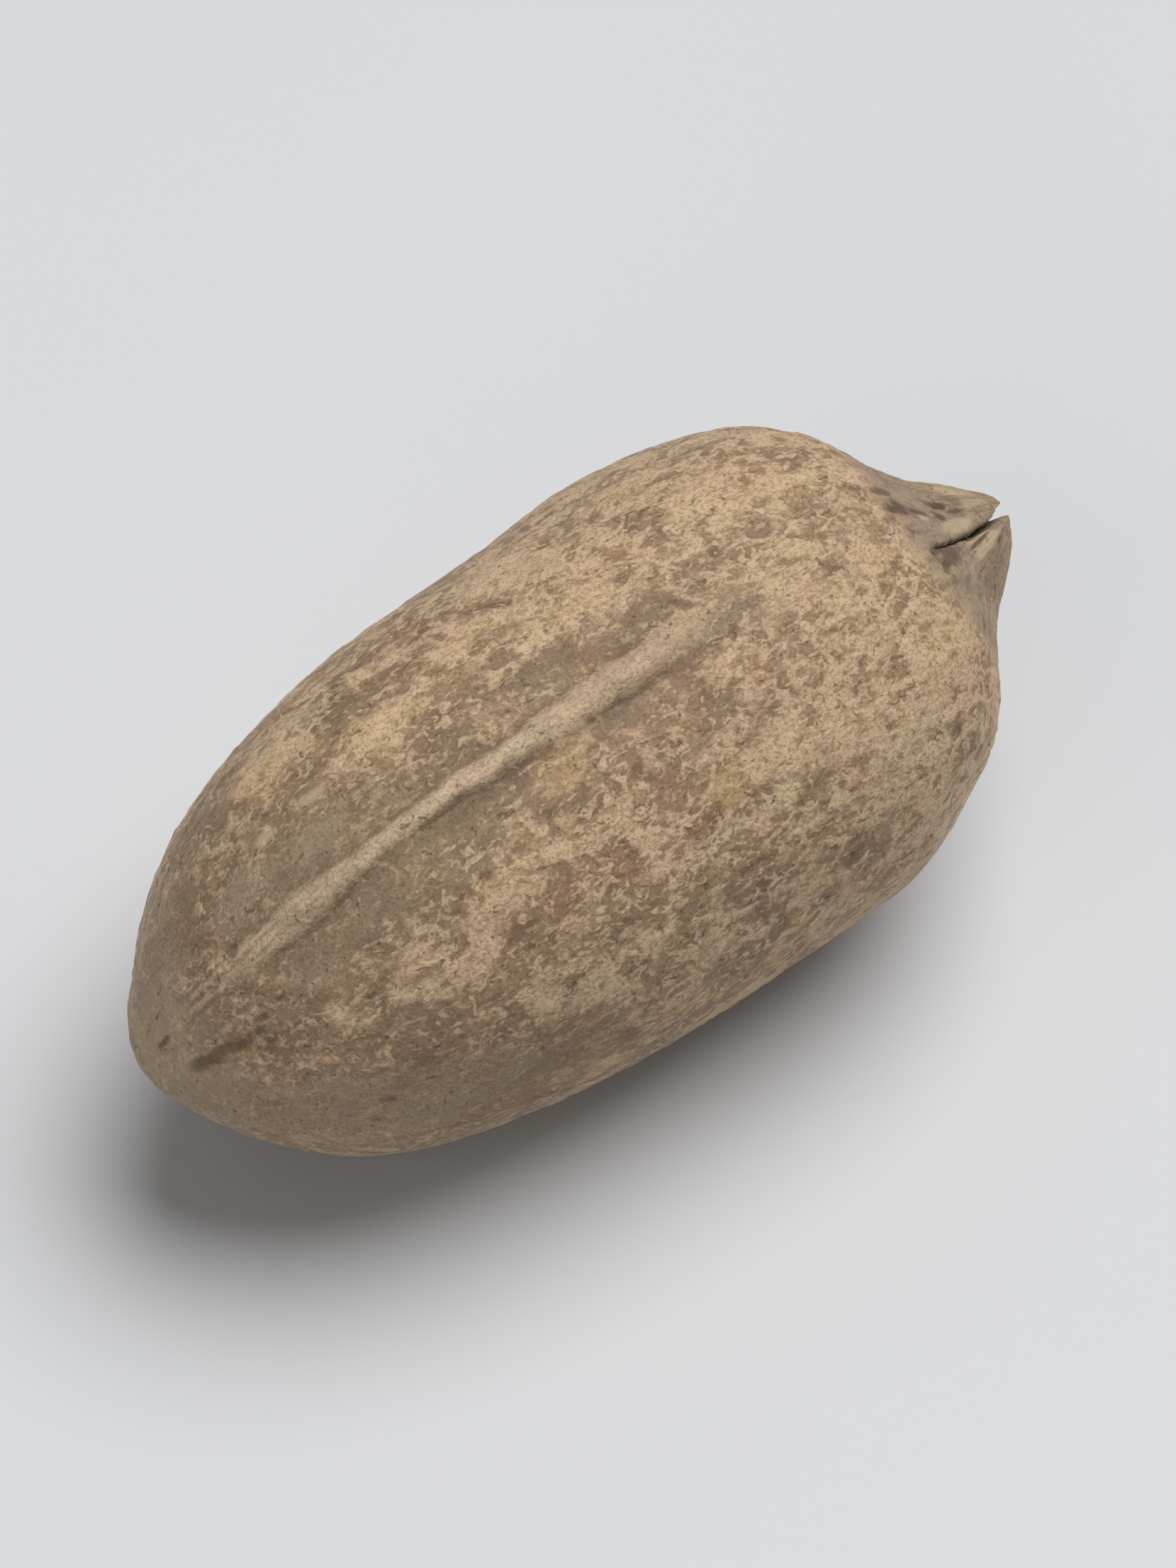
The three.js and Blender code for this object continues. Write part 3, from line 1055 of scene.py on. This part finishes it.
def scurf_group():
    """Flecks of scurf: rounded or worm-like spots of a given size, longer along the nut."""
    usual = dict(zip(FLECK_INPUTS, FLECKS["specks"]))
    wiring, given, flecks = shader_group("scurf", usual, "Flecks")
    grain = wiring.soft_noise(
        given["Place"],
        given["Size"],
        given["Stretch"],
        Detail=given["Detail"],
        Roughness=FLECK_ROUGHNESS,
        Distortion=given["Wriggle"],
    )
    low = wiring.math("SUBTRACT", given["Level"], given["Softness"])
    high = wiring.math("ADD", given["Level"], given["Softness"])
    wiring.feed(flecks, wiring.rise(grain, low, high))
    return wiring.tree


def threads_group():
    """Thin wandering threads: the line where a soft chance field crosses its middle."""
    wiring, given, threads = shader_group("threads", WORMS, "Threads")
    field = wiring.soft_noise(
        given["Place"],
        given["Size"],
        given["Stretch"],
        Detail=1.0,
        Roughness=0.5,
        Distortion=given["Wriggle"],
    )
    away = wiring.math("ABSOLUTE", wiring.math("SUBTRACT", field, 0.5))
    near = wiring.math("SUBTRACT", 1.0, wiring.part(away, given["Thinness"]))
    wiring.feed(threads, wiring.rise(near, 0.0, 1.0))
    return wiring.tree


class ShellFinish(Wiring):
    """The shell's finish as it is built up: the colour so far, and the heights of its fine relief."""

    def __init__(self, tree, scurf):
        super().__init__(tree)
        self.scurf = scurf
        self.place = self.place_in_mm()
        self.flow = self.attribute("flow", "Vector")
        self.mask = {name: self.attribute(name) for name in MARKS + TONES}
        self.grit = self.flecks("grit")
        self.colour = BARE_TAN
        self.heights = [self.part(self.grit, 0.5)]

    def flecks(self, name, lengthwise=False):
        """One kind of fleck from the table, on the nut itself or in patterns that run lengthwise."""
        made = dict(zip(FLECK_INPUTS, FLECKS[name]))
        if name in FLECK_LEVEL_WITH_COVER:
            moved = self.part(self.mask["cover"], FLECK_LEVEL_WITH_COVER[name])
            made["Level"] = self.total(made["Level"], moved)
        return self.group(self.scurf, Place=self.flow if lengthwise else self.place, **made)

    def crumble(self, value):
        """A mask whose edges break up into grit."""
        mixed = self.total(self.part(value, CRUMBLE_MASK), self.part(self.grit, CRUMBLE_GRIT))
        return self.rise(mixed, *CRUMBLE_LEVELS)

    def lay(self, tone, value, share=1.0, height=0.0):
        """Lays a tone over the colour so far where a mask is up, and raises or sinks the surface there."""
        self.colour = self.mix(self.part(value, share), self.colour, tone)
        if height:
            self.heights.append(self.part(value, height))


def bare_shell(finish):
    """The shell under its scurf: tan, rose, grey and ochre, dark streaks, and dust near the base."""
    finish.lay(BARE_ROSE, finish.mask["rose"], share=0.85)
    finish.lay(BARE_GREY, finish.mask["grey"])
    finish.lay(BARE_OCHRE, finish.mask["straw"], share=0.4)
    finish.lay(DARK_SCURF_AND_SHADE, finish.mask["streaks"], share=0.2)
    finish.lay(BASE_DUST, finish.mask["dusty"], share=0.85)


def scurfy_crust(finish):
    """The crust of scurf, over a thin film of its own tone that lies everywhere. Gives the crust."""
    mask = finish.mask
    gritty = finish.total(finish.part(mask["crust"], 0.6), finish.part(finish.grit, 0.4))
    crust = finish.rise(gritty, 0.25, 0.75)
    tone = finish.mix(mask["straw"], CRUST_TAN, CRUST_STRAW)
    tone = finish.mix(finish.part(mask["rose"], 0.8), tone, CRUST_ROSE)
    finish.lay(tone, finish.total(0.34, finish.part(crust, 0.31), finish.part(mask["cover"], 0.14)))
    finish.heights.append(finish.part(crust, 0.5))
    return crust


def scurf_room(finish):
    """How much room a place leaves for loose scurf: less where it is dusty, grey or fibrous."""
    mask = finish.mask
    taken = finish.math("MAXIMUM", finish.part(mask["dusty"], 0.75), finish.part(mask["beak"], 0.6))
    taken = finish.math("MAXIMUM", taken, finish.part(mask["grey"], 0.7))
    return finish.math("SUBTRACT", 1.0, taken)


def loose_scurf(finish, threads, pale_tone, room):
    """Painted shade in the crevices between flakes of scurf, pale worms gathered in places, and pale flecks.
    """
    shaded_crevices = finish.part(finish.crumble(finish.flecks("shaded_crevices")), room)
    finish.lay(DARK_SCURF_AND_SHADE, shaded_crevices, share=0.48, height=-0.7)
    worms = finish.crumble(finish.group(threads, Place=finish.place, **WORMS))
    worms = finish.part(finish.part(worms, finish.flecks("gathered")), room)
    finish.lay(pale_tone, worms, share=0.98, height=0.6)
    pale = finish.part(finish.crumble(finish.flecks("pale")), room)
    finish.lay(pale_tone, pale, share=0.92, height=0.5)


def dusty_crests(finish):
    """The lumpy dust along each crest, painted shade in the grooves beside it and in the creases, and the
    strands where it begins.
    """
    mask = finish.mask
    lumps = finish.crumble(finish.flecks("crest_lumps"))
    finish.lay(CREST_DUST, finish.part(mask["crest"], finish.total(0.66, finish.part(lumps, 0.34))))
    finish.heights.append(finish.part(finish.part(mask["crest"], lumps), 0.7))
    # Painted shade in the grooves, the gaps between strands and the creases.
    finish.lay(DARK_SCURF_AND_SHADE, mask["groove"], share=0.5)
    finish.lay(ROSE_SCURF, finish.crumble(mask["strand"]), share=0.55)


def chaff_and_grain(finish, pale_tone, room):
    """The finest of it: small pale scales, and a dark grain over everything."""
    finish.lay(pale_tone, finish.part(finish.flecks("chaff"), room), share=0.7)
    finish.lay(DARK_SCURF_AND_SHADE, finish.flecks("grain"), share=0.34, height=-0.2)


def fibrous_lip(finish):
    """The beak's lip, grey, rose and grey-green with brown fibres and painted shade on its lower prong's
    side, and the cream edges of its split.
    """
    mask = finish.mask
    green = finish.crumble(finish.flecks("lip", lengthwise=True))
    lip = finish.mix(green, LIP_GREY_AND_SHADE, LIP_GREEN_GREY)
    lip = finish.mix(finish.part(mask["rose"], 0.75), lip, LIP_ROSE)
    # On the lower prong's side the grey mask lays the lip's painted shade.
    lip = finish.mix(finish.part(mask["grey"], 0.8), lip, LIP_GREY_AND_SHADE)
    fibres = finish.flecks("lip_fibres", lengthwise=True)
    lip = finish.mix(finish.part(fibres, 0.35), lip, FLAKED_BROWN_AND_SHADE)
    finish.lay(lip, finish.crumble(mask["beak"]), share=0.85)
    finish.lay(LIP_CREAM, mask["cream"], share=0.8)


def marks_and_cracks(finish):
    """The dust round the base, brown specks, spots where the shell has flaked, painted shade in a dent near
    the base and in a hollow under the split, pits and painted shade in the cracks.
    """
    mask = finish.mask
    finish.lay(BASE_DUST, mask["base"], share=0.5)
    finish.lay(FLAKED_BROWN_AND_SHADE, finish.flecks("specks"), share=0.6, height=-0.8)
    # Flaked spots, and painted shade in the dent near the base and the hollow under the split.
    finish.lay(FLAKED_BROWN_AND_SHADE, mask["flaked_and_shaded"], share=0.92)
    finish.lay(PIT_BROWN, mask["pit"], share=0.7)
    # Painted shade beside and inside the split, the cut and the fissures.
    finish.lay(HOLLOW_BROWN_AND_SHADE, finish.rise(mask["crack"], 0.1, 0.6), share=0.75)
    finish.lay(CRACK_BROWN_AND_SHADE, finish.rise(mask["crack"], 0.6, 0.95))


def new_material(name):
    """A material with an empty Principled shader, and that shader's inputs."""
    material = bpy.data.materials.new(name)
    material.use_nodes = True
    return material, material.node_tree.nodes["Principled BSDF"].inputs


def shell_material(scurf, threads):
    """The dry shell: grey, rose and tan where it shows under crusts of scurf, with a dusty crest, and painted
    shade in its cracks, crevices and grooves.
    """
    material, shader = new_material("pecan_shell_finish")
    finish = ShellFinish(material.node_tree, scurf)
    pale_tone = finish.mix(finish.part(finish.mask["rose"], 0.6), PALE_SCURF, ROSE_SCURF)
    room = scurf_room(finish)
    bare_shell(finish)
    crust = scurfy_crust(finish)
    loose_scurf(finish, threads, pale_tone, room)
    dusty_crests(finish)
    chaff_and_grain(finish, pale_tone, room)
    fibrous_lip(finish)
    marks_and_cracks(finish)

    bump = finish.node(
        "ShaderNodeBump", Strength=1.0, Distance=FINISH_DEPTH, Height=finish.total(*finish.heights)
    )
    finish.feed(shader["Base Color"], finish.colour)
    finish.feed(shader["Roughness"], finish.total(BARE_ROUGHNESS, finish.part(crust, CRUST_ROUGHNESS)))
    finish.feed(shader["Normal"], bump.outputs[0])
    for name, value in SHELL_SHEEN.items():
        shader[name].default_value = value
    shader["Sheen Tint"].default_value = SHEEN_DUST
    return material


def floor_material():
    """A plain pale matt surface."""
    material, shader = new_material("pale_floor")
    wiring = Wiring(material.node_tree)
    clouds = wiring.node("ShaderNodeTexNoise", Vector=wiring.place_in_mm(), Scale=0.02, Detail=2.0).outputs[0]
    wiring.feed(shader["Base Color"], wiring.mix(wiring.part(clouds, 0.3), FLOOR_GREY, FLOOR_SHADE))
    shader["Roughness"].default_value = 0.6
    return material


def make_floor():
    """The pale surface that the nut lies on."""
    half = FLOOR_HALF_WIDTH
    corners = [(-half, -half), (half, -half), (half, half), (-half, half)]
    mesh = bpy.data.meshes.new("floor")
    mesh.from_pydata([(x, y, CAD_LOW.z - FLOOR_DROP) for x, y in corners], [], [(0, 1, 2, 3)])
    mesh.materials.append(floor_material())
    floor = bpy.data.objects.new("floor", mesh)
    bpy.context.scene.collection.objects.link(floor)


def make_light(name, towards, power, spread):
    """A soft light from far off, in a direction, as wide as an angle in degrees."""
    data = bpy.data.lights.new(name, "SUN")
    data.energy = power
    data.angle = math.radians(spread)
    light = bpy.data.objects.new(name, data)
    light.rotation_euler = Vector(towards).to_track_quat("Z", "Y").to_euler()
    bpy.context.scene.collection.objects.link(light)


def make_lighting():
    """A wide soft light nearly overhead, a weak one low at the base end, and an even pale surround."""
    for name, (towards, power, spread) in LIGHTS.items():
        make_light(name, towards, power, spread)

    world = bpy.data.worlds.new("surround")
    world.use_nodes = True
    wiring = Wiring(world.node_tree)
    surround = world.node_tree.nodes["Background"].inputs
    surround["Color"].default_value = SURROUND_WHITE
    seen = wiring.node("ShaderNodeLightPath").outputs["Is Camera Ray"]
    wiring.feed(surround["Strength"], wiring.total(SURROUND_LIGHT, wiring.part(seen, SURROUND_SEEN)))
    bpy.context.scene.world = world
    bpy.context.scene.view_settings.view_transform = "Standard"


def make_camera():
    """The photograph's view of the nut. It is pitched with the nut, which is thus seen the same way."""
    heading, rise = math.radians(CAMERA_HEADING), math.radians(CAMERA_RISE)
    level = Vector((math.sin(heading), -math.cos(heading), 0)) * math.cos(rise)
    back = level + Vector((0, 0, math.sin(rise)))
    centre = (CAD_LOW + CAD_HIGH) / 2
    aim = (-back).to_track_quat("-Z", "Y").to_matrix().to_4x4()
    settle = Matrix.Rotation(-math.radians(REST_PITCH), 4, "Y")
    data = bpy.data.cameras.new("camera")
    data.lens = CAMERA_LENS
    data.clip_start, data.clip_end = CAMERA_SPAN
    camera = bpy.data.objects.new("camera", data)
    bpy.context.scene.collection.objects.link(camera)
    around_centre = Matrix.Translation(centre) @ settle
    camera.matrix_world = around_centre @ Matrix.Translation(back * CAMERA_DISTANCE) @ aim
    bpy.context.scene.camera = camera


make_camera()
make_floor()
make_lighting()

shell = make_shell()
shell.data.materials.append(shell_material(scurf_group(), threads_group()))
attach(shell, "root")
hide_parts(NODE)
